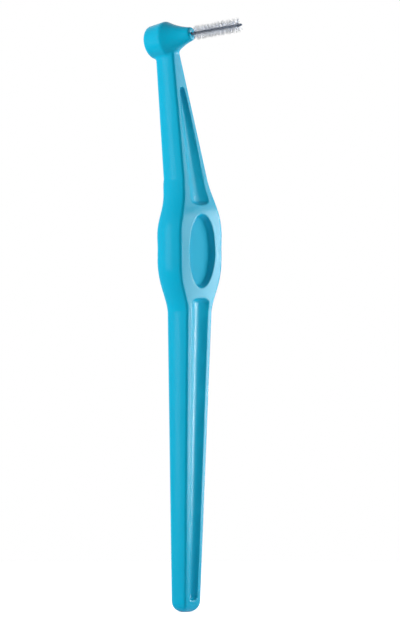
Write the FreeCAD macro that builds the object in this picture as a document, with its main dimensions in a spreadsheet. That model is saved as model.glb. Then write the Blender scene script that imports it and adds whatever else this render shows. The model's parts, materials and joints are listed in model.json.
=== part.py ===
import FreeCAD, Part
import math
import os
import Sketcher

# Angled interdental brush, in millimetres.
# +Z runs up the handle and +X is the way that the brush points.
# The origin is the centre of the flat oval floor in the front of the grip.

doc = FreeCAD.newDocument("interdental_brush")

# Driving dimensions

SIZES = {
    # Tail, from the middle of the grip down to the butt.
    # A setback is how far a section's front lies behind the front of the grip.
    "tail_length": 94.6,
    "butt_width": 7.5,
    "butt_depth": 4.8,
    "butt_setback": 3.2,
    "butt_front_rounding": 2.8,
    "butt_side_rounding": 1.9,
    "butt_dome_height": 2.8,
    "tail_top_drop": 15.9,
    "tail_top_width": 12.4,
    "tail_top_depth": 7.0,
    "tail_top_setback": 0.85,
    # Grip, whose widest stretch is centred a little above the recess
    "grip_rise": 1.1,
    "grip_length": 11.0,
    "grip_width": 20.45,
    "grip_depth": 8.7,
    # Neck, leaning back from the grip to the head
    "neck_base_height": 18.7,
    "neck_base_width": 12.2,
    "neck_base_depth": 7.1,
    "neck_base_setback": 2.1,
    "neck_top_height": 54.1,
    "neck_top_width": 3.7,
    "neck_top_depth": 5.8,
    "neck_top_setback": 8.9,
    # Swell of the faces and rounding of the long edges
    "face_crown_radius": 80.0,
    "side_crown_radius": 10.0,
    "front_edge": 0.65,
    "back_edge": 1.2,
    # Oval recess in the front of the grip
    "recess_length": 20.0,
    "recess_width": 12.1,
    "recess_depth": 1.5,
    "recess_wall_run": 1.2,
    # Flutes in the front of the tail and of the neck
    "flute_depth": 1.1,
    "flute_end_radius": 1.2,
    "tail_flute_start": 91.6,
    "tail_flute_end": 12.8,
    "tail_flute_lower_width": 3.7,
    "tail_flute_upper_width": 7.6,
    "neck_flute_start": 13.8,
    "neck_flute_end": 43.1,
    "neck_flute_lower_width": 8.3,
    "neck_flute_upper_width": 2.0,
    # Head: a short drum with a domed back, and a hollow nose in front of the drum's ridge
    "head_forward": 0.5,
    "head_rise": 1.55,
    "head_tilt": 10.3,
    "head_fillet_radius": 1.2,
    "dome_radius": 7.0,
    "drum_radius": 4.5,
    "drum_length": 4.1,
    "drum_edge": 1.0,
    "ridge_radius": 4.78,
    "ridge_edge": 1.4,
    "nose_length": 7.85,
    "nose_tip_radius": 1.78,
    "nose_curve_radius": 21.0,
    "nose_chamfer": 0.2,
    # Twisted wire, of two strands, and the filaments between them
    "brush_tilt": 7.4,
    "brush_length": 16.1,
    "anchor_depth": 2.8,
    "strand_diameter": 0.34,
    "twist_pitch": 2.2,
    "bore_clearance": 0.02,
    "clamp_clearance": 0.015,
    "filament_thickness": 0.1,
    "bristle_diameter": 4.2,
    "bristle_start": 1.8,
    "bristle_length": 13.2,
}

sheet = doc.addObject("Spreadsheet::Sheet", "sizes")
for row, (alias, number) in enumerate(SIZES.items(), start=1):
    sheet.set(f"A{row}", alias)
    sheet.set(f"B{row}", str(number))
    sheet.setAlias(f"B{row}", alias)
doc.recompute()


def size(expression):
    """The value of an expression in the sheet's names."""
    return float(sheet.evalExpression(expression))


def linked(expression):
    """The expression as another object writes it, with the sheet's name before each alias."""
    words = []
    word = ""
    for letter in expression + " ":
        if letter.isalnum() or letter == "_":
            word += letter
            continue
        words.append(f"sizes.{word}" if word in SIZES else word)
        words.append(letter)
        word = ""
    return "".join(words).strip()


# Sketches

Z_AXIS = FreeCAD.Vector(0, 0, 1)
H_AXIS, V_AXIS = range(-1, -3, -1)
START, END, CENTRE = range(1, 4)
ORIGIN = (H_AXIS, START)


def point(x, y):
    return FreeCAD.Vector(x, y, 0)


def new_sketch(body, name, role, offset):
    """A sketch on an origin plane of the body, moved and turned by the expressions in offset."""
    sketch = body.newObject("Sketcher::SketchObject", name)
    plane = next(feature for feature in body.Origin.OriginFeatures if feature.Role == role)
    sketch.AttachmentSupport = [(plane, "")]
    sketch.MapMode = "FlatFace"
    for path, expression in offset.items():
        sketch.setExpression(f"AttachmentOffset.{path}", linked(expression))
    return sketch


def relate(sketch, kind, *where):
    sketch.addConstraint(Sketcher.Constraint(kind, *where))


def dimension(sketch, name, expression, kind, *where):
    """A named dimension whose value is the expression."""
    index = sketch.addConstraint(Sketcher.Constraint(kind, *where, size(expression)))
    sketch.renameConstraint(index, name)
    sketch.setExpression(f"Constraints.{name}", linked(expression))


def add_line(sketch, start, end):
    return sketch.addGeometry(Part.LineSegment(start, end))


def add_arc(sketch, centre, start, end):
    """An arc that runs anticlockwise from start to end."""
    circle = Part.Circle(centre, Z_AXIS, (start - centre).Length)
    return sketch.addGeometry(Part.ArcOfCircle(circle, angle_of(start - centre), angle_of(end - centre)))


def angle_of(vector):
    return math.atan2(vector.y, vector.x)


def meeting_point(first, first_reach, second, second_reach):
    """The point at these distances from two others, on the left of the way between them."""
    way = second - first
    along = (way.Length**2 + first_reach**2 - second_reach**2) / (2 * way.Length)
    across = math.sqrt(first_reach**2 - along**2)
    way.normalize()
    return first + way * along + FreeCAD.Vector(-way.y, way.x, 0) * across


# The handle's cross-sections: height, width, depth and setback at each station

STATIONS = {
    "butt": ("-tail_length", "butt_width", "butt_depth", "butt_setback"),
    "tail_top": ("-tail_top_drop", "tail_top_width", "tail_top_depth", "tail_top_setback"),
    "grip_low": ("grip_rise - grip_length / 2", "grip_width", "grip_depth", "0"),
    "grip_high": ("grip_rise + grip_length / 2", "grip_width", "grip_depth", "0"),
    "neck_base": ("neck_base_height", "neck_base_width", "neck_base_depth", "neck_base_setback"),
    "neck_top": ("neck_top_height", "neck_top_width", "neck_top_depth", "neck_top_setback"),
}

# Over the grip each size eases from one station to the next. A zone has the names of its lower and
# upper stations, then the slopes at its two ends of the width, of the depth and of the setback.
STRAIGHT = (1.0, 1.0)
ZONES = [
    ("tail_top", "grip_low", (0.5, 0.3), STRAIGHT, STRAIGHT),
    ("grip_low", "grip_high", STRAIGHT, STRAIGHT, STRAIGHT),
    ("grip_high", "neck_base", (0.8, 0.4), (1.6, 0.5), (0.0, 1.2)),
]

# The grip's loft is smooth only through sections at even steps.
GRIP_STEPS = 8


def ease(share, slopes):
    """A cubic from 0 to 1 with the given slopes at its ends."""
    first, last = slopes
    rise = share * share * (3 - 2 * share)
    return rise + first * share * (1 - share) ** 2 - last * share * share * (1 - share)


def between(low, high, share):
    return f"(({low}) + (({high}) - ({low})) * {share:.5f})"


def section_at(height):
    """Width, depth and setback of the handle at this height."""
    for low_name, high_name, *slopes in ZONES:
        bottom, *low = STATIONS[low_name]
        top, *high = STATIONS[high_name]
        if size(height) <= size(top):
            break
    share = (size(height) - size(bottom)) / (size(top) - size(bottom))
    return [between(a, b, ease(share, pair)) for a, b, pair in zip(low, high, slopes)]


def section_sketch(body, name, height, width, depth, setback):
    """Four swelling faces joined by round corners, drawn from the middle of the back."""
    sketch = new_sketch(body, name, "XY_Plane", {
        "Base.x": f"recess_depth - {setback} - {depth}",
        "Base.z": height,
    })
    front_corner_size = f"min(front_edge; 0.35 * {depth})"
    back_corner_size = f"min(back_edge; 0.35 * {depth})"
    half = size(width) / 2
    reach = size(depth)
    face_radius = size("face_crown_radius")
    side_radius = size("side_crown_radius")
    front_centre = point(reach - face_radius, 0)
    back_centre = point(face_radius, 0)
    side_centre = point(reach / 2, half - side_radius)
    front_round = size(front_corner_size)
    back_round = size(back_corner_size)
    front_corner = meeting_point(
        front_centre, face_radius - front_round, side_centre, side_radius - front_round
    )
    rear_corner = meeting_point(
        side_centre, side_radius - back_round, back_centre, face_radius - back_round
    )

    def touch(centre, corner, radius):
        return centre + (corner - centre).normalize() * radius

    def mirrored(place):
        return point(place.x, -place.y)

    front_touch = touch(front_centre, front_corner, face_radius)
    side_front_touch = touch(side_centre, front_corner, side_radius)
    side_back_touch = touch(side_centre, rear_corner, side_radius)
    back_touch = touch(back_centre, rear_corner, face_radius)
    front = add_arc(sketch, front_centre, mirrored(front_touch), front_touch)
    front_left = add_arc(sketch, front_corner, front_touch, side_front_touch)
    left = add_arc(sketch, side_centre, side_front_touch, side_back_touch)
    back_left = add_arc(sketch, rear_corner, side_back_touch, back_touch)
    back = add_arc(sketch, back_centre, back_touch, mirrored(back_touch))
    back_right = add_arc(sketch, mirrored(rear_corner), mirrored(back_touch), mirrored(side_back_touch))
    right = add_arc(sketch, mirrored(side_centre), mirrored(side_back_touch), mirrored(side_front_touch))
    front_right = add_arc(sketch, mirrored(front_corner), mirrored(side_front_touch), mirrored(front_touch))
    front_middle = sketch.addGeometry(Part.Point(point(reach, 0)), True)
    side_middle = sketch.addGeometry(Part.Point(point(reach / 2, half)), True)

    outline = [front, front_left, left, back_left, back, back_right, right, front_right]
    for arc, following in zip(outline, outline[1:] + outline[:1]):
        relate(sketch, "Tangent", arc, END, following, START)
    relate(sketch, "Equal", left, right)
    relate(sketch, "Equal", front_left, front_right)
    relate(sketch, "Equal", back_left, back_right)
    relate(sketch, "Symmetric", left, CENTRE, right, CENTRE, H_AXIS)
    relate(sketch, "PointOnObject", front, CENTRE, H_AXIS)
    relate(sketch, "PointOnObject", back, CENTRE, H_AXIS)
    relate(sketch, "PointOnObject", *ORIGIN, back)
    relate(sketch, "PointOnObject", front_middle, START, H_AXIS)
    relate(sketch, "PointOnObject", front_middle, START, front)
    relate(sketch, "PointOnObject", side_middle, START, left)
    relate(sketch, "Vertical", side_middle, START, left, CENTRE)
    dimension(sketch, "depth", depth, "DistanceX", *ORIGIN, front_middle, START)
    dimension(sketch, "half_depth", f"{depth} / 2", "DistanceX", *ORIGIN, left, CENTRE)
    dimension(sketch, "half_width", f"{width} / 2", "DistanceY", *ORIGIN, side_middle, START)
    dimension(sketch, "front_radius", "face_crown_radius", "Radius", front)
    dimension(sketch, "back_radius", "face_crown_radius", "Radius", back)
    dimension(sketch, "side_radius", "side_crown_radius", "Radius", left)
    dimension(sketch, "front_corner", front_corner_size, "Radius", front_left)
    dimension(sketch, "back_corner", back_corner_size, "Radius", back_left)
    return sketch


def outline_closed(sketch, pieces):
    """The pieces joined end to end into a closed outline."""
    for piece, following in zip(pieces, pieces[1:] + pieces[:1]):
        relate(sketch, "Coincident", piece, END, following, START)


def must_change(feature, way):
    """Stops unless the feature is sound and adds volume to its base, or takes some from it."""
    doc.recompute()
    before = feature.BaseFeature.Shape.Volume if feature.BaseFeature else 0.0
    change = feature.Shape.Volume - before
    print(f"{feature.Name}: {change:+.3f} mm3")
    if change * way <= 0:
        raise RuntimeError(f"{feature.Name} changes the volume by {change}")


# The butt's dome: sections that draw in along a quarter of an ellipse, at even steps of its angle

DOME_STEPS = 3
DOME_LAST_ANGLE = 84


def tail_size(quantity, share):
    """A size of the tail's section, this share of the way from the butt to the tail's top."""
    return f"(butt_{quantity} + (tail_top_{quantity} - butt_{quantity}) * {share})"


def butt_sections(body):
    """Sections from a little above the dome down to the small flat at its bottom."""
    sections = []
    for number in range(-1, DOME_STEPS + 1):
        angle = f"{DOME_LAST_ANGLE * number / DOME_STEPS:.3f} deg"
        height = f"(butt_dome_height * (1 - sin({angle})) - tail_length)"
        share = f"(({height} + tail_length) / (tail_length - tail_top_drop))"
        draw_in = f"(1 - cos({angle}))" if number > 0 else "0"
        width = f"({tail_size('width', share)} - 2 * butt_front_rounding * {draw_in})"
        depth = f"({tail_size('depth', share)} - 2 * butt_side_rounding * {draw_in})"
        setback = f"({tail_size('setback', share)} + butt_side_rounding * {draw_in})"
        name = f"butt_section_{number + 1:02d}"
        sections.append(section_sketch(body, name, height, width, depth, setback))
    return sections


def lofted(body, kind, name, sections):
    """A loft through the sections, added or cut."""
    loft = body.newObject(f"PartDesign::{kind}Loft", name)
    loft.Profile = sections[0]
    loft.Sections = sections[1:]
    must_change(loft, 1 if kind == "Additive" else -1)


def revolved(body, kind, sketch):
    """A full turn about the sketch's own horizontal axis, added or cut."""
    turned = body.newObject(f"PartDesign::{kind}", f"{sketch.Name}_turned")
    turned.Profile = sketch
    turned.ReferenceAxis = (sketch, ["H_Axis"])
    turned.Angle = 360
    must_change(turned, 1 if kind == "Revolution" else -1)


# The head's place: the middle of its ridge lies over the neck's top, and the nose ends in front of it

HEAD_X = "(recess_depth - neck_top_setback - neck_top_depth / 2 + head_forward)"
HEAD_Z = "(neck_top_height + head_rise)"
NOSE_X = f"({HEAD_X} + nose_length * cos(head_tilt))"
NOSE_Z = f"({HEAD_Z} + nose_length * sin(head_tilt))"
TWIST_RADIUS = "(strand_diameter / 2 + filament_thickness / 2 + clamp_clearance)"
BORE_RADIUS = f"({TWIST_RADIUS} + strand_diameter / 2 + bore_clearance)"
BORE_DEPTH = "(anchor_depth + strand_diameter)"
BORE_LENGTH = f"({BORE_DEPTH} + nose_tip_radius)"


def head_sketch(body):
    """Half of the head's outline over its own axis: dome, drum, ridge, hollow nose and flat tip."""
    sketch = new_sketch(body, "head_outline", "XZ_Plane", {
        "Base.x": HEAD_X,
        "Base.y": HEAD_Z,
        "Rotation.Angle": "head_tilt",
    })
    dome_reach = size("dome_radius")
    drum_round = size("drum_edge")
    ridge_round = size("ridge_edge")
    hollow = size("nose_curve_radius")
    chamfer = size("nose_chamfer")
    drum_centre = point(-size("drum_length"), size("drum_radius") - drum_round)
    ridge_centre = point(0, size("ridge_radius") - ridge_round)
    dome_centre = point(drum_centre.x + math.sqrt((dome_reach - drum_round) ** 2 - drum_centre.y**2), 0)
    nose_tip = point(size("nose_length") - chamfer, size("nose_tip_radius"))
    nose_centre = meeting_point(ridge_centre, hollow + ridge_round, nose_tip, hollow)
    nose_top = ridge_centre + (nose_centre - ridge_centre).normalize() * ridge_round
    along = ridge_centre - drum_centre
    drum_angle = angle_of(along) + math.acos((drum_round - ridge_round) / along.Length)
    drum_normal = point(math.cos(drum_angle), math.sin(drum_angle))
    dome_top = drum_centre + (drum_centre - dome_centre).normalize() * drum_round
    back = point(dome_centre.x - dome_reach, 0)
    front = point(size("nose_length"), 0)
    corner = point(front.x, nose_tip.y - chamfer)
    dome = add_arc(sketch, dome_centre, dome_top, back)
    axis = add_line(sketch, back, front)
    end = add_line(sketch, front, corner)
    tip = add_line(sketch, corner, nose_tip)
    nose = add_arc(sketch, nose_centre, nose_top, nose_tip)
    ridge = add_arc(sketch, ridge_centre, nose_top, ridge_centre + drum_normal * ridge_round)
    drum = add_line(sketch, ridge_centre + drum_normal * ridge_round, drum_centre + drum_normal * drum_round)
    shoulder = add_arc(sketch, drum_centre, drum_centre + drum_normal * drum_round, dome_top)
    relate(sketch, "Coincident", dome, END, axis, START)
    relate(sketch, "Coincident", axis, END, end, START)
    relate(sketch, "Coincident", end, END, tip, START)
    relate(sketch, "Coincident", tip, END, nose, END)
    relate(sketch, "Tangent", nose, START, ridge, START)
    relate(sketch, "Tangent", ridge, END, drum, START)
    relate(sketch, "Tangent", drum, END, shoulder, START)
    relate(sketch, "Tangent", shoulder, END, dome, START)
    relate(sketch, "PointOnObject", dome, CENTRE, H_AXIS)
    relate(sketch, "PointOnObject", ridge, CENTRE, V_AXIS)
    relate(sketch, "PointOnObject", axis, START, H_AXIS)
    relate(sketch, "PointOnObject", axis, END, H_AXIS)
    relate(sketch, "Vertical", end)
    dimension(sketch, "dome", "dome_radius", "Radius", dome)
    dimension(sketch, "nose", "nose_curve_radius", "Radius", nose)
    dimension(sketch, "ridge", "ridge_edge", "Radius", ridge)
    dimension(sketch, "shoulder", "drum_edge", "Radius", shoulder)
    dimension(sketch, "ridge_y", "ridge_radius - ridge_edge", "DistanceY", *ORIGIN, ridge, CENTRE)
    dimension(sketch, "drum_x", "drum_length", "DistanceX", shoulder, CENTRE, *ORIGIN)
    dimension(sketch, "drum_y", "drum_radius - drum_edge", "DistanceY", *ORIGIN, shoulder, CENTRE)
    dimension(sketch, "tip_x", "nose_length", "DistanceX", *ORIGIN, axis, END)
    dimension(sketch, "tip_y", "nose_tip_radius", "DistanceY", *ORIGIN, tip, END)
    dimension(sketch, "chamfer_x", "nose_chamfer", "DistanceX", tip, END, tip, START)
    dimension(sketch, "chamfer_y", "nose_chamfer", "DistanceY", tip, START, tip, END)
    return sketch


def head_fillet(body):
    """A fillet all round where the neck runs into the head: the curves up there that are no circles."""
    head = body.Tip
    joins = [
        f"Edge{number}"
        for number, edge in enumerate(head.Shape.Edges, start=1)
        if edge.BoundBox.ZMin > size("neck_top_height - drum_radius")
        and not edge.Degenerated
        and isinstance(edge.Curve, Part.BSplineCurve)
    ]
    fillet = body.newObject("PartDesign::Fillet", "head_fillet")
    fillet.Base = (head, joins)
    fillet.setExpression("Radius", linked("head_fillet_radius"))
    must_change(fillet, 1)


def flute_sketch(body, name, lower, upper, lower_width, upper_width):
    """Half of a long tapering cutter, over an axis in front of the face that it cuts.

    lower and upper are the stretch's ends on the face line, as pairs of X and Z.
    """
    rise = f"({upper[1]} - {lower[1]})"
    run = f"({upper[0]} - {lower[0]})"
    lean = f"atan({run} / {rise})"
    length = f"sqrt({rise}^2 + {run}^2)"
    lower_radius = f"((({lower_width}) / 2)^2 + flute_depth^2) / (2 * flute_depth)"
    upper_radius = f"((({upper_width}) / 2)^2 + flute_depth^2) / (2 * flute_depth)"
    flare = f"atan(({upper_radius} - {lower_radius}) / {length})"
    lower_round = f"min(flute_end_radius; 0.8 * {lower_radius})"
    upper_round = f"min(flute_end_radius; 0.8 * {upper_radius})"
    stand_off = f"({lower_radius} - flute_depth)"
    sketch = new_sketch(body, name, "XZ_Plane", {
        "Base.x": f"{lower[0]} + {stand_off} * cos({lean})",
        "Base.y": f"{lower[1]} - {stand_off} * sin({lean})",
        "Rotation.Angle": f"90 deg - {lean} - {flare}",
    })
    far = size(f"{length} / cos({flare})")
    low = size(f"{lower_radius} * cos({flare})")
    high = size(f"{upper_radius} * cos({flare})")
    low_round = size(lower_round)
    high_round = size(upper_round)
    axis = add_line(sketch, point(0, 0), point(far, 0))
    upper_end = add_line(sketch, point(far, 0), point(far, high - high_round))
    upper_centre = point(far - high_round, high - high_round)
    upper_corner = add_arc(sketch, upper_centre, point(far, upper_centre.y), point(upper_centre.x, high))
    floor = add_line(sketch, point(far - high_round, high), point(low_round, low))
    lower_centre = point(low_round, low - low_round)
    lower_corner = add_arc(sketch, lower_centre, point(low_round, low), point(0, lower_centre.y))
    lower_end = add_line(sketch, point(0, low - low_round), point(0, 0))
    relate(sketch, "Coincident", axis, START, *ORIGIN)
    relate(sketch, "PointOnObject", axis, END, H_AXIS)
    relate(sketch, "Coincident", axis, END, upper_end, START)
    relate(sketch, "Tangent", upper_end, END, upper_corner, START)
    relate(sketch, "Tangent", upper_corner, END, floor, START)
    relate(sketch, "Tangent", floor, END, lower_corner, START)
    relate(sketch, "Tangent", lower_corner, END, lower_end, START)
    relate(sketch, "Coincident", lower_end, END, axis, START)
    relate(sketch, "Vertical", upper_end)
    relate(sketch, "Vertical", lower_end)
    dimension(sketch, "length", f"{length} / cos({flare})", "DistanceX", axis, START, axis, END)
    dimension(sketch, "lower_radius", f"{lower_radius} * cos({flare})", "DistanceY", *ORIGIN, floor, END)
    dimension(sketch, "upper_radius", f"{upper_radius} * cos({flare})", "DistanceY", *ORIGIN, floor, START)
    dimension(sketch, "lower_round", lower_round, "Radius", lower_corner)
    dimension(sketch, "upper_round", upper_round, "Radius", upper_corner)
    return sketch


def on_face(low_name, high_name, height):
    """The point at this height on the straight front line through two stations."""
    low = STATIONS[low_name]
    high = STATIONS[high_name]
    share = f"(({height} - ({low[0]})) / ({high[0]} - ({low[0]})))"
    return (f"(recess_depth - {low[3]} - ({high[3]} - {low[3]}) * {share})", f"({height})")


def oval_sketch(body, name, place, grow):
    """The recess's oval at this distance in front of its floor, larger all round by grow."""
    sketch = new_sketch(body, name, "YZ_Plane", {"Base.z": place})
    length = f"recess_length + 2 * ({grow})"
    width = f"recess_width + 2 * ({grow})"
    tall = point(0, size(length) / 2)
    wide = point(size(width) / 2, 0)
    oval = sketch.addGeometry(Part.Ellipse(tall, wide, point(0, 0)))
    sketch.exposeInternalGeometry(oval)
    long_axis = oval + 1
    short_axis = oval + 2
    relate(sketch, "Coincident", oval, CENTRE, *ORIGIN)
    relate(sketch, "Vertical", long_axis)
    dimension(sketch, "length", length, "Distance", long_axis)
    dimension(sketch, "width", width, "Distance", short_axis)
    return sketch


def bore_sketch(body):
    """Half of the wire's hole, from its bottom out through the nose's tip."""
    sketch = new_sketch(body, "wire_bore", "XZ_Plane", {
        "Base.x": f"{NOSE_X} - {BORE_DEPTH} * cos(brush_tilt)",
        "Base.y": f"{NOSE_Z} - {BORE_DEPTH} * sin(brush_tilt)",
        "Rotation.Angle": "brush_tilt",
    })
    length = size(BORE_LENGTH)
    radius = size(BORE_RADIUS)
    axis = add_line(sketch, point(0, 0), point(length, 0))
    mouth = add_line(sketch, point(length, 0), point(length, radius))
    wall = add_line(sketch, point(length, radius), point(0, radius))
    bottom = add_line(sketch, point(0, radius), point(0, 0))
    outline_closed(sketch, [axis, mouth, wall, bottom])
    relate(sketch, "Coincident", axis, START, *ORIGIN)
    relate(sketch, "Horizontal", axis)
    relate(sketch, "Horizontal", wall)
    relate(sketch, "Vertical", mouth)
    relate(sketch, "Vertical", bottom)
    dimension(sketch, "length", BORE_LENGTH, "DistanceX", axis, START, axis, END)
    dimension(sketch, "radius", BORE_RADIUS, "DistanceY", mouth, START, mouth, END)
    return sketch


# The handle: tail and neck are straight, and the grip between them swells

handle = doc.addObject("PartDesign::Body", "handle")
handle.Label = "handle"

grip_heights = [between("-tail_top_drop", "neck_base_height", i / GRIP_STEPS) for i in range(GRIP_STEPS + 1)]
grip_sections = [
    section_sketch(handle, f"grip_section_{number:02d}", height, *section_at(height))
    for number, height in enumerate(grip_heights)
]
dome_sections = butt_sections(handle)
neck_section = section_sketch(handle, "neck_section", *STATIONS["neck_top"])
lofted(handle, "Additive", "neck", [grip_sections[-1], neck_section])
revolved(handle, "Revolution", head_sketch(handle))
head_fillet(handle)
lofted(handle, "Additive", "grip", grip_sections)
lofted(handle, "Additive", "tail", [dome_sections[0], grip_sections[0]])
lofted(handle, "Additive", "butt", dome_sections)

tail_flute = flute_sketch(
    handle,
    "tail_flute",
    on_face("butt", "tail_top", "-tail_flute_start"),
    on_face("butt", "tail_top", "-tail_flute_end"),
    "tail_flute_lower_width",
    "tail_flute_upper_width",
)
revolved(handle, "Groove", tail_flute)
neck_flute = flute_sketch(
    handle,
    "neck_flute",
    on_face("neck_base", "neck_top", "neck_flute_start"),
    on_face("neck_base", "neck_top", "neck_flute_end"),
    "neck_flute_lower_width",
    "neck_flute_upper_width",
)
revolved(handle, "Groove", neck_flute)
recess_floor = oval_sketch(handle, "recess_floor", "0", "-recess_wall_run")
recess_mouth = oval_sketch(handle, "recess_mouth", "2 * recess_depth", "recess_wall_run")
lofted(handle, "Subtractive", "recess", [recess_floor, recess_mouth])
revolved(handle, "Groove", bore_sketch(handle))

# The wire and the filaments, drawn along +Z from the nose's tip and then placed there

brush_place = FreeCAD.Placement(
    FreeCAD.Vector(size(NOSE_X), 0, size(NOSE_Z)),
    FreeCAD.Rotation(FreeCAD.Vector(0, 1, 0), 90 - size("brush_tilt")),
)
twist_radius = size(TWIST_RADIUS)
strand_radius = size("strand_diameter / 2")
pitch = size("twist_pitch")
wire_bottom = -size("anchor_depth")
wire_top = size(f"brush_length - {TWIST_RADIUS} - strand_diameter / 2")


def twist_angle(height):
    """How far the twist has turned here, in radians from its top."""
    return 2 * math.pi * (height - wire_top) / pitch


def on_strand(height, turn):
    """The middle of a strand and the way that it climbs, for the strand that starts at turn."""
    angle = twist_angle(height) + turn
    way = FreeCAD.Vector(
        -twist_radius * math.sin(angle), twist_radius * math.cos(angle), pitch / (2 * math.pi)
    )
    middle = FreeCAD.Vector(twist_radius * math.cos(angle), twist_radius * math.sin(angle), height)
    return middle, way.normalize()


def arc_leaving(start, way, end):
    """The arc from start to end that sets off in the given way."""
    chord = end - start
    length = chord.Length
    chord.normalize()
    rise = way - chord * way.dot(chord)
    half_turn = math.acos(way.dot(chord)) / 2
    middle = (start + end) / 2 + rise.normalize() * (length / 2 * math.tan(half_turn))
    return Part.Arc(start, middle, end).toShape()


def biarc(start, start_way, end, end_way):
    """Two arcs that meet smoothly and have the given ways at their outer ends."""
    gap = end - start
    turn = 2 * (1 - start_way.dot(end_way))
    lead = 2 * gap.dot(start_way + end_way)
    reach = (math.sqrt(lead**2 + 4 * turn * gap.dot(gap)) - lead) / (2 * turn)
    knee = (start + start_way * reach + end - end_way * reach) / 2
    knee_way = (end - end_way * reach - start - start_way * reach).normalize()
    return [arc_leaving(start, start_way, knee), arc_leaving(knee, knee_way, end)]


# A strand's round section is drawn with this many sides.
STRAND_SIDES = 6

quarter_turns = math.ceil((wire_top - wire_bottom) / (pitch / 4))
climb = [wire_bottom + (wire_top - wire_bottom) * i / quarter_turns for i in range(quarter_turns + 1)]
path = [on_strand(height, 0) for height in climb]
for height in reversed(climb):
    middle, way = on_strand(height, math.pi)
    path.append((middle, -way))
arcs = []
for start, end in zip(path, path[1:]):
    arcs += biarc(*start, *end)
first, first_way = path[0]
outward = FreeCAD.Vector(first.x, first.y, 0).normalize() * strand_radius
corners = [
    first + FreeCAD.Rotation(first_way, 360 * i / STRAND_SIDES).multVec(outward) for i in range(STRAND_SIDES)
]
section = Part.makePolygon(corners + corners[:1])
twisted_wire = doc.addObject("Part::Feature", "twisted_wire")
twisted_wire.Label = "twisted_wire"
twisted_wire.Shape = Part.Wire(arcs).makePipeShell([section], True, False)
twisted_wire.Placement = brush_place

run = sum(arc.Length for arc in arcs)
swept = run * Part.Face(section).Area
print(f"wire {run:.2f} mm long, volume {twisted_wire.Shape.Volume:.4f}, section by length {swept:.4f}")
print(f"tightest bend {min(arc.Curve.Radius for arc in arcs):.3f}, strand radius {strand_radius:.3f}")
legs = [arcs[: 2 * quarter_turns], arcs[2 * quarter_turns + 2 :]]
up, down = ([place for arc in leg for place in arc.discretize(12)] for leg in legs)
nearest = min((place - other).Length for place in up for other in down)
print(f"least gap between the strands {nearest - 2 * strand_radius:.4f}")

# Filaments: each row fills half a turn of the twist, and each filament crosses between the strands

ROWS = 12
ROW_FILAMENTS = 7
nodes = [handle, twisted_wire]
step = size("bristle_length") / (ROWS * ROW_FILAMENTS)
for row_number in range(ROWS):
    filaments = []
    for number in range(row_number * ROW_FILAMENTS, (row_number + 1) * ROW_FILAMENTS):
        height = size("bristle_start") + step * (number + 0.5)
        filament = doc.addObject("Part::Box", f"filament_{number + 1:03d}")
        filament.setExpression("Length", linked("filament_thickness"))
        filament.setExpression("Width", linked("bristle_diameter"))
        filament.setExpression("Height", linked("filament_thickness"))
        turned = FreeCAD.Rotation(Z_AXIS, math.degrees(twist_angle(height)))
        corner = FreeCAD.Vector(
            -size("filament_thickness") / 2, -size("bristle_diameter") / 2, -size("filament_thickness") / 2
        )
        filament.Placement = FreeCAD.Placement(FreeCAD.Vector(0, 0, height) + turned.multVec(corner), turned)
        filaments.append(filament)
    row = doc.addObject("Part::Compound", f"filament_row_{row_number + 1:02d}")
    row.Label = row.Name
    row.Links = filaments
    row.Placement = brush_place
    nodes.append(row)
doc.recompute()

# Nothing is written unless every object is sound

for item in doc.Objects:
    if "Invalid" in item.State or "Error" in item.State:
        raise RuntimeError(f"{item.Name} failed: {item.State}")
for node in nodes:
    if node.Shape.isNull() or not node.Shape.isValid():
        raise RuntimeError(f"{node.Label} has no sound shape")

os.makedirs("parts", exist_ok=True)
for node in nodes:
    node.Shape.exportStep(f"parts/{node.Label}.step")
    print(f"{node.Label}: {len(node.Shape.Solids)} solids, {node.Shape.Volume:.3f} mm3")
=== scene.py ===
# %% [markdown]
# # An angled interdental brush
# The real brush is three things: one moulding of blue plastic, one steel wire folded and twisted
# into a spiral, and hundreds of nylon filaments that the twist holds by their middles.
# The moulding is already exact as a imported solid, so this lesson gives it a finish and a light
# that shows its faces. The wire and the filaments are only stand-ins there, and are made here anew.

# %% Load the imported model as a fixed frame
import json
import math
import random

import bmesh
import bpy
from mathutils import Matrix, Vector


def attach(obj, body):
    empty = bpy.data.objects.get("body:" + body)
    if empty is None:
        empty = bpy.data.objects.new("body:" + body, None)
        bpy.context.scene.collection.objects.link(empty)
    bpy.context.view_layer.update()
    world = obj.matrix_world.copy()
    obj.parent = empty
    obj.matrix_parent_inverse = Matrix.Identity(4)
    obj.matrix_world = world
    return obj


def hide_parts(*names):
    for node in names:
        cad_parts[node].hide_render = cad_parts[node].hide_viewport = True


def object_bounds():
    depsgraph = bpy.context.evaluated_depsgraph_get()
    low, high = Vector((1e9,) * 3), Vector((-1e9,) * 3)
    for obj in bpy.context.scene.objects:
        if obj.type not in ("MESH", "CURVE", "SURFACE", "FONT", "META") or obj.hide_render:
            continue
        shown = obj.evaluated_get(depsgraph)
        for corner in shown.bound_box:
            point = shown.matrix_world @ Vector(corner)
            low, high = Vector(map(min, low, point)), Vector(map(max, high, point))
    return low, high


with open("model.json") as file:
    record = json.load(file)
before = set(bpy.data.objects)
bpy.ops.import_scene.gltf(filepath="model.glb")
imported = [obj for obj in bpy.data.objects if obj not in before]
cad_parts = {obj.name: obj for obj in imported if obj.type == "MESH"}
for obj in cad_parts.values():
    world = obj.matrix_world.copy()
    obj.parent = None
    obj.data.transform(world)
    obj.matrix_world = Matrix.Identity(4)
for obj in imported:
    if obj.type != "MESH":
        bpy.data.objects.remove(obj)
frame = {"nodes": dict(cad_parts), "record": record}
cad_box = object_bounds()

MM = 0.001
low, high = (Vector(corner) for corner in cad_box)
print("solids from", [round(x / MM, 1) for x in low], "to", [round(x / MM, 1) for x in high], "mm")

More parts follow.
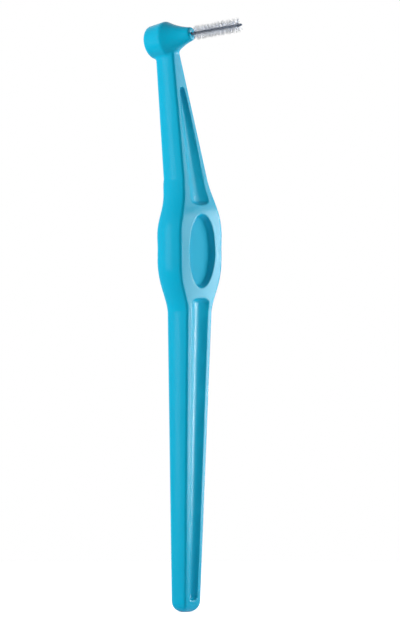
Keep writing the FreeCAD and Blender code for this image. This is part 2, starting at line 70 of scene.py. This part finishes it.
# %% [markdown]
# ## Camera
# The photograph was taken from far off with a long lens, level with the middle of the brush, from
# 35 degrees round to its front. A long lens two metres away keeps the edges as parallel as they are there.

# %% Camera
VIEW_AZIMUTH = math.radians(35)
CAMERA_DISTANCE = 2.0
PIXELS_PER_MM = 3.817
FRAME_HEIGHT_PIXELS = 622
SENSOR_MM = 36
FAR_CLIP = 20
MIDDLE_HEIGHT = -15.66 * MM
MIDDLE_TO_RIGHT = 0.445 * MM

right_way = Vector((math.cos(VIEW_AZIMUTH), math.sin(VIEW_AZIMUTH), 0))
camera_way = Vector((math.sin(VIEW_AZIMUTH), -math.cos(VIEW_AZIMUTH), 0))
aim = right_way * MIDDLE_TO_RIGHT + Vector((0, 0, MIDDLE_HEIGHT))

lens = bpy.data.cameras.new("photo_camera")
lens.sensor_width = SENSOR_MM
lens.lens = PIXELS_PER_MM / MM * CAMERA_DISTANCE * SENSOR_MM / FRAME_HEIGHT_PIXELS
lens.clip_end = FAR_CLIP
camera = bpy.data.objects.new("photo_camera", lens)
camera.location = aim + camera_way * CAMERA_DISTANCE
camera.rotation_euler = (-camera_way).to_track_quat("-Z", "Y").to_euler()
bpy.context.scene.collection.objects.link(camera)
bpy.context.scene.camera = camera
print("lens", round(lens.lens), "mm at", CAMERA_DISTANCE, "m")

# %% [markdown]
# ## Helpers for materials
# A colour is written as it would be picked on a screen, and Blender wants it in linear light.
# A node is added with its settings, and each of its sockets takes a number or another node's output.

# %% Colours and nodes
WHITE = "#FFFFFF"


def linear_colour(hex_code):
    """An sRGB hex colour as linear red, green, blue and alpha."""
    shares = [int(hex_code[i : i + 2], 16) / 255 for i in (1, 3, 5)]
    return [s / 12.92 if s <= 0.04045 else ((s + 0.055) / 1.055) ** 2.4 for s in shares] + [1.0]


def add_node(tree, kind, sockets=None, **settings):
    """A new node with these settings, and with a value or another node's output on each named socket."""
    node = tree.nodes.new(kind)
    for name, value in settings.items():
        setattr(node, name, value)
    for name, value in (sockets or {}).items():
        if isinstance(value, bpy.types.NodeSocket):
            tree.links.new(value, node.inputs[name])
        else:
            node.inputs[name].default_value = value
    return node


def new_material(name):
    """An empty material and its node tree."""
    material = bpy.data.materials.new(name)
    material.use_nodes = True
    material.node_tree.nodes.clear()
    return material, material.node_tree


def looked_at(tree):
    """An output that is 1 where the camera, a gloss or a glass looks, and 0 as light on matt surfaces."""
    ray = add_node(tree, "ShaderNodeLightPath")
    direct = add_node(tree, "ShaderNodeMath", {
        0: ray.outputs["Is Camera Ray"],
        1: ray.outputs["Is Glossy Ray"],
    }, operation="MAXIMUM")
    through = add_node(tree, "ShaderNodeMath", {
        0: direct.outputs[0],
        1: ray.outputs["Is Transmission Ray"],
    }, operation="MAXIMUM")
    return through.outputs[0]


print("white in linear light:", linear_colour(WHITE))

# %% [markdown]
# ## Studio
# The brush stands in a white room. The world is white wherever the camera, a gloss or a glass looks
# into it, and a soft grey for matt surfaces, which is the gentle light from all round.
# Softboxes do the rest. Behind on the right, a tall one glances along the front faces and makes them
# pale, a thin one draws the bright line in the flutes, and a small high one reaches the leaning neck.
# In front on the left, a large one fills the side, and a narrower one leaves a soft band along it.
# Only the large one is kept out of the gloss, because it would wash out the plastic's colour.

# %% World
ROOM_LIGHT = 0.22

world = bpy.data.worlds.new("white_room")
world.use_nodes = True
room = world.node_tree
room.nodes.clear()
level = add_node(room, "ShaderNodeMapRange", {
    "Value": looked_at(room),
    "To Min": ROOM_LIGHT,
    "To Max": 1.0,
})
sky = add_node(room, "ShaderNodeBackground", {"Color": linear_colour(WHITE), "Strength": level.outputs[0]})
add_node(room, "ShaderNodeOutputWorld", {"Surface": sky.outputs[0]})
bpy.context.scene.world = world
bpy.context.scene.view_settings.view_transform = "Standard"
print("room light", ROOM_LIGHT)

# %% Softboxes
# Name, level way to it from the brush, then in metres its distance, its height over the grip and the
# box's width and height, then watts and whether it shows in the gloss
SOFTBOXES = [
    ("back_right_softbox", (0.595, 0.804, 0), 0.45, -0.05, 0.20, 0.28, 1.6, True),
    ("back_strip_softbox", (0.342, 0.940, 0), 0.45, -0.05, 0.02, 0.28, 0.62, True),
    ("upper_right_softbox", (0.588, 0.809, 0), 0.45, 0.15, 0.20, 0.07, 0.23, True),
    ("front_left_softbox", (-0.6, -0.8, 0), 1.0, 0.0, 1.60, 1.60, 13.8, False),
    ("left_strip_softbox", (-0.5, -0.866, 0), 1.0, 0.0, 0.34, 0.80, 2.7, True),
]
for name, level_way, distance, rise, width, tall, watts, in_gloss in SOFTBOXES:
    way = Vector(level_way)
    lamp = bpy.data.lights.new(name, "AREA")
    lamp.shape = "RECTANGLE"
    lamp.size = width
    lamp.size_y = tall
    lamp.energy = watts
    box = bpy.data.objects.new(name, lamp)
    box.location = way * distance + Vector((0, 0, rise))
    box.rotation_euler = (-way).to_track_quat("-Z", "Y").to_euler()
    box.visible_camera = False
    box.visible_glossy = in_gloss
    bpy.context.scene.collection.objects.link(box)
    print(name, "brightness", round(watts / (math.pi * width * tall), 2))

# %% Floor
FLOOR_RADIUS = 0.4
FLOOR_SIDES = 96
FLOOR_GLOW = 0.62

# White card. It takes the shadow, and a little glow where it is looked at brings the lit part up to white.
card, tree = new_material("white_card")
glow = add_node(tree, "ShaderNodeMath", {0: looked_at(tree), 1: FLOOR_GLOW}, operation="MULTIPLY")
card_face = add_node(tree, "ShaderNodeBsdfPrincipled", {
    "Base Color": linear_colour("#F4F4F4"),
    "Roughness": 0.9,
    "Emission Color": linear_colour(WHITE),
    "Emission Strength": glow.outputs[0],
})
add_node(tree, "ShaderNodeOutputMaterial", {"Surface": card_face.outputs[0]})

bm = bmesh.new()
bmesh.ops.create_circle(
    bm, cap_ends=True, segments=FLOOR_SIDES, radius=FLOOR_RADIUS, matrix=Matrix.Translation((0, 0, low.z))
)
mesh = bpy.data.meshes.new("floor")
bm.to_mesh(mesh)
bm.free()
floor = bpy.data.objects.new("floor", mesh)
floor.data.materials.append(card)
bpy.context.scene.collection.objects.link(floor)
print("floor at", round(low.z / MM, 1), "mm")

# %% [markdown]
# ## Handle
# The handle is one moulding of polypropylene. Its solid has the right shape already, so it stays and
# gets the finish: a clean cyan all through, an even gloss, and the faint unevenness of a mould.
# The thumb recess has a duller floor. A mask in the object's own coordinates finds it, because the
# middle of the recess floor is the origin of the part.

# %% Moulded polypropylene
# Polypropylene, index 1.49, from a fine-blasted mould. The eye gets a deep even blue with soft
# reflections that follow the flutes.
MOULD_GRAIN = 0.35 * MM   # real blasting is about 0.03 mm; drawn coarser so that it shows at all
GRAIN_HEIGHT = 0.02 * MM
FLOW_LENGTH = 9 * MM      # how far the tint drifts along the melt's flow

plastic, tree = new_material("moulded_polypropylene")
where = add_node(tree, "ShaderNodeTexCoord").outputs["Object"]
flow = add_node(tree, "ShaderNodeTexNoise", {"Vector": where, "Scale": 1 / FLOW_LENGTH, "Detail": 2.0})
tint = add_node(tree, "ShaderNodeMix", {
    "Factor": flow.outputs["Fac"],
    "A": linear_colour("#00B4DC"),
    "B": linear_colour("#00BCE2"),
}, data_type="RGBA")
grain = add_node(tree, "ShaderNodeTexNoise", {"Vector": where, "Scale": 1 / MOULD_GRAIN, "Detail": 3.0})
gloss = add_node(tree, "ShaderNodeMapRange", {
    "Value": grain.outputs["Fac"],
    "To Min": 0.14,
    "To Max": 0.22,
})
print("mould grain", round(MOULD_GRAIN / MM, 2), "mm")

# %% Dull floor of the thumb recess
# Spark erosion of the mould leaves the floor dull and finely pitted. The mask is an ellipsoid round it.
PAD_HALF_SIZES = (0.3 * MM, 6.05 * MM, 10.0 * MM)
PAD_ROUGHNESS = 0.62
PAD_EDGE = 0.9            # where the pad starts to fade, as a share of its half sizes

pad_place = add_node(tree, "ShaderNodeMapping", {
    "Vector": where,
    "Scale": [1 / half_size for half_size in PAD_HALF_SIZES],
})
from_pad = add_node(tree, "ShaderNodeVectorMath", {0: pad_place.outputs[0]}, operation="LENGTH")
on_pad = add_node(tree, "ShaderNodeMapRange", {
    "Value": from_pad.outputs["Value"],
    "From Min": PAD_EDGE,
    "From Max": 1.0,
    "To Min": 1.0,
    "To Max": 0.0,
})
dullness = add_node(tree, "ShaderNodeMix", {
    "Factor": on_pad.outputs[0],
    "A": gloss.outputs[0],
    "B": PAD_ROUGHNESS,
})
pitting = add_node(tree, "ShaderNodeMapRange", {
    "Value": on_pad.outputs[0],
    "To Min": 0.05,
    "To Max": 0.5,
})
print("pad half sizes", [round(half_size / MM, 2) for half_size in PAD_HALF_SIZES], "mm")

# %% Eased edges and the finished plastic
EASED_EDGE = 0.7 * MM     # a moulding shrinks as it cools, which softens every edge
EASE_SAMPLES = 8

eased = add_node(tree, "ShaderNodeBevel", {"Radius": EASED_EDGE}, samples=EASE_SAMPLES)
dimple = add_node(tree, "ShaderNodeBump", {
    "Normal": eased.outputs[0],
    "Height": grain.outputs["Fac"],
    "Strength": pitting.outputs[0],
    "Distance": GRAIN_HEIGHT,
})
surface = add_node(tree, "ShaderNodeBsdfPrincipled", {
    "Base Color": tint.outputs["Result"],
    "Roughness": dullness.outputs[0],
    "IOR": 1.49,
    "Specular IOR Level": 0.1,
    "Normal": dimple.outputs[0],
})
add_node(tree, "ShaderNodeOutputMaterial", {"Surface": surface.outputs[0]})

handle = frame["nodes"]["handle"]
handle.data.materials.clear()
handle.data.materials.append(plastic)
print("handle faces", len(handle.data.polygons), "vertices", len(handle.data.vertices))

# %% [markdown]
# ## Twisted wire
# A hairpin of thin steel wire is laid over the filaments and twisted, which turns both legs into
# spirals. One ring spun round the brush's axis while it climbs gives a leg, a half-turn copy gives the
# other leg, and a spin about a level axis closes the bend at the tip.
# The record's mount at the nose says where the brush starts and which way it points.

# %% The brush's own frame
seat = next(m for m in frame["record"]["mounts"] if m["name"] == "nose_cap_seat")
brush_way = Vector(seat["axis"]).normalized()
brush_frame = Matrix.Translation(seat["pos_m"]) @ brush_way.to_track_quat("Z", "Y").to_matrix().to_4x4()

BRUSH_LENGTH = 16.1 * MM
ANCHOR_DEPTH = 2.8 * MM
STRAND_RADIUS = 0.17 * MM
STRAND_GAP = 0.13 * MM
TWIST_RADIUS = STRAND_RADIUS + STRAND_GAP / 2
TWIST_PITCH = 2.2 * MM
WIRE_BOTTOM = -ANCHOR_DEPTH
WIRE_TOP = BRUSH_LENGTH - TWIST_RADIUS - STRAND_RADIUS
BEND_RUN_IN = 0.2 * MM


def twist_angle(height):
    """How far the twist has turned at this height over the nose, from its top."""
    return 2 * math.pi * (height - WIRE_TOP) / TWIST_PITCH


print("brush leaves the nose at", [round(x / MM, 2) for x in seat["pos_m"]], "mm")

# %% First leg
STRAND_SIDES = 12
STEPS_PER_TURN = 28

lean = math.atan2(2 * math.pi * TWIST_RADIUS, TWIST_PITCH)
twist_top = WIRE_TOP - BEND_RUN_IN
turn = twist_angle(twist_top) - twist_angle(WIRE_BOTTOM)
steps = round(turn / (2 * math.pi) * STEPS_PER_TURN)

bm = bmesh.new()
start = (
    Matrix.Rotation(twist_angle(WIRE_BOTTOM), 4, "Z")
    @ Matrix.Translation((TWIST_RADIUS, 0, WIRE_BOTTOM))
    @ Matrix.Rotation(-lean, 4, "X")
)
bmesh.ops.create_circle(bm, cap_ends=False, segments=STRAND_SIDES, radius=STRAND_RADIUS, matrix=start)
climb = Vector((0, 0, (twist_top - WIRE_BOTTOM) / steps))
spun = bmesh.ops.spin(
    bm, geom=bm.verts[:] + bm.edges[:], cent=(0, 0, 0), axis=(0, 0, 1), dvec=climb, angle=turn, steps=steps
)
print("turns in the twist", round(turn / (2 * math.pi), 2))

# %% Second leg and the bend at the tip
BEND_STEPS = 12
WELD_DISTANCE = 0.002 * MM

rim = [e for e in spun["geom_last"] if isinstance(e, bmesh.types.BMEdge)]
raised = bmesh.ops.extrude_edge_only(bm, edges=rim)["geom"]
top_verts = [v for v in raised if isinstance(v, bmesh.types.BMVert)]
top_edges = [e for e in raised if isinstance(e, bmesh.types.BMEdge) and all(v in top_verts for v in e.verts)]
outward = Vector((math.cos(twist_angle(twist_top)), math.sin(twist_angle(twist_top)), 0))
across = Vector((-outward.y, outward.x, 0))
middle = outward * TWIST_RADIUS + Vector((0, 0, twist_top))
bmesh.ops.rotate(bm, verts=top_verts, cent=middle, matrix=Matrix.Rotation(lean, 3, outward))
bmesh.ops.translate(bm, verts=top_verts, vec=(0, 0, BEND_RUN_IN))
leg = bm.verts[:] + bm.edges[:] + bm.faces[:]
copied = bmesh.ops.duplicate(bm, geom=leg)["geom"]
bmesh.ops.rotate(
    bm,
    verts=[v for v in copied if isinstance(v, bmesh.types.BMVert)],
    cent=(0, 0, 0),
    matrix=Matrix.Rotation(math.pi, 3, "Z"),
)
bmesh.ops.spin(
    bm,
    geom=top_verts + top_edges,
    cent=(0, 0, WIRE_TOP),
    axis=across,
    dvec=(0, 0, 0),
    angle=-math.pi,
    steps=BEND_STEPS,
)
bmesh.ops.remove_doubles(bm, verts=bm.verts[:], dist=WELD_DISTANCE)
bmesh.ops.holes_fill(bm, edges=[e for e in bm.edges if e.is_boundary], sides=STRAND_SIDES)
bmesh.ops.recalc_face_normals(bm, faces=bm.faces[:])
open_edges = sum(not e.is_manifold for e in bm.edges)
tip = max(v.co.z for v in bm.verts)
print("open edges", open_edges, "tip at", round(tip / MM, 2), "mm over the nose")

# %% Wire in its place
for face in bm.faces:
    face.smooth = True
bmesh.ops.transform(bm, matrix=brush_frame, verts=bm.verts[:])
mesh = bpy.data.meshes.new("twisted_wire_strands")
bm.to_mesh(mesh)
bm.free()
wire = bpy.data.objects.new("twisted_wire_strands", mesh)
bpy.context.scene.collection.objects.link(wire)
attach(wire, "root")
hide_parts("twisted_wire")
print("wire faces", len(mesh.polygons))

# %% Drawn steel
# Stainless steel wire, bright drawn and then dulled by the twisting, which sets its roughness. Its base
# colour is painted dark:
# painted shade for the shade between the filaments and the dark surroundings the steel would reflect.
# The eye gets a dark grey thread with short broken glints along each turn.
DRAW_LINE = 0.12 * MM     # die lines are a few thousandths of a millimetre; drawn coarser so that they show

steel, tree = new_material("stainless_wire_painted_shade")
where = add_node(tree, "ShaderNodeTexCoord").outputs["Object"]
lines = add_node(tree, "ShaderNodeTexNoise", {"Vector": where, "Scale": 1 / DRAW_LINE, "Detail": 2.0})
# Painted shade: both steel colours are darkened to stand for the shade between the filaments and dark
# reflections
shade = add_node(tree, "ShaderNodeMix", {
    "Factor": lines.outputs["Fac"],
    "A": linear_colour("#222E40"),
    "B": linear_colour("#5E6C80"),
}, data_type="RGBA")
dull = add_node(tree, "ShaderNodeMapRange", {
    "Value": lines.outputs["Fac"],
    "To Min": 0.28,
    "To Max": 0.42,
})
surface = add_node(tree, "ShaderNodeBsdfPrincipled", {
    "Base Color": shade.outputs["Result"],
    "Metallic": 1.0,
    "Roughness": dull.outputs[0],
})
add_node(tree, "ShaderNodeOutputMaterial", {"Surface": surface.outputs[0]})
wire.data.materials.append(steel)
print("wire finish", steel.name)

# %% [markdown]
# ## Filaments
# Each filament is a thread of clear nylon that crosses between the strands and stands out on both
# sides. A filament is two slim cones from the axis outwards, and the twist turns each one a little
# further than the last. A little chance in angle and length keeps the brush from looking machined.

# %% Nylon
# Nylon 6.12 thread, clear and unpigmented, index 1.53. The eye gets pale blue-white lines that let
# some of the background through.
THREAD_SHADE = 0.6 * MM   # distance over which one thread differs from the next

nylon, tree = new_material("clear_nylon_filament")
where = add_node(tree, "ShaderNodeTexCoord").outputs["Object"]
drift = add_node(tree, "ShaderNodeTexNoise", {"Vector": where, "Scale": 1 / THREAD_SHADE, "Detail": 1.0})
shade = add_node(tree, "ShaderNodeMix", {
    "Factor": drift.outputs["Fac"],
    "A": linear_colour("#E2EAF9"),
    "B": linear_colour("#F8FBFF"),
}, data_type="RGBA")
surface = add_node(tree, "ShaderNodeBsdfPrincipled", {
    "Base Color": shade.outputs["Result"],
    "Roughness": 0.25,
    "IOR": 1.53,
    "Transmission Weight": 0.95,
})
add_node(tree, "ShaderNodeOutputMaterial", {"Surface": surface.outputs[0]})
print("filament finish", nylon.name)

# %% Rows of filaments
ROWS = 12
ROW_FILAMENTS = 60
BRISTLE_START = 0.9 * MM
BRISTLE_LENGTH = 14.1 * MM
BRISTLE_RADIUS = 2.1 * MM
ROOT_RADIUS = 0.026 * MM
TIP_RADIUS = 0.017 * MM
FILAMENT_SIDES = 5
SPREAD = math.radians(20)
LEAN_SPREAD = math.radians(9)
SHORTEST = 0.72           # of the full length
STEP_SHARES = (0.2, 0.8)  # lowest and highest place of a filament within its step
SEED = 7

chance = random.Random(SEED)
step = BRISTLE_LENGTH / (ROWS * ROW_FILAMENTS)
for row in range(ROWS):
    bm = bmesh.new()
    for number in range(row * ROW_FILAMENTS, (row + 1) * ROW_FILAMENTS):
        height = BRISTLE_START + step * (number + chance.uniform(*STEP_SHARES))
        for side in (math.pi / 2, -math.pi / 2):
            length = BRISTLE_RADIUS * chance.uniform(SHORTEST, 1.0)
            pose = (
                Matrix.Translation((0, 0, height))
                @ Matrix.Rotation(twist_angle(height) + side + chance.gauss(0, SPREAD), 4, "Z")
                @ Matrix.Rotation(math.pi / 2 + chance.gauss(0, LEAN_SPREAD), 4, "Y")
                @ Matrix.Translation((0, 0, length / 2))
            )
            bmesh.ops.create_cone(
                bm,
                cap_ends=True,
                segments=FILAMENT_SIDES,
                radius1=ROOT_RADIUS,
                radius2=TIP_RADIUS,
                depth=length,
                matrix=brush_frame @ pose,
            )
    for face in bm.faces:
        face.smooth = len(face.verts) == 4
    mesh = bpy.data.meshes.new(f"filaments_{row + 1:02d}")
    bm.to_mesh(mesh)
    bm.free()
    mesh.materials.append(nylon)
    tuft = bpy.data.objects.new(mesh.name, mesh)
    bpy.context.scene.collection.objects.link(tuft)
    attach(tuft, "root")
    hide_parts(f"filament_row_{row + 1:02d}")
print("filaments", ROWS * ROW_FILAMENTS)
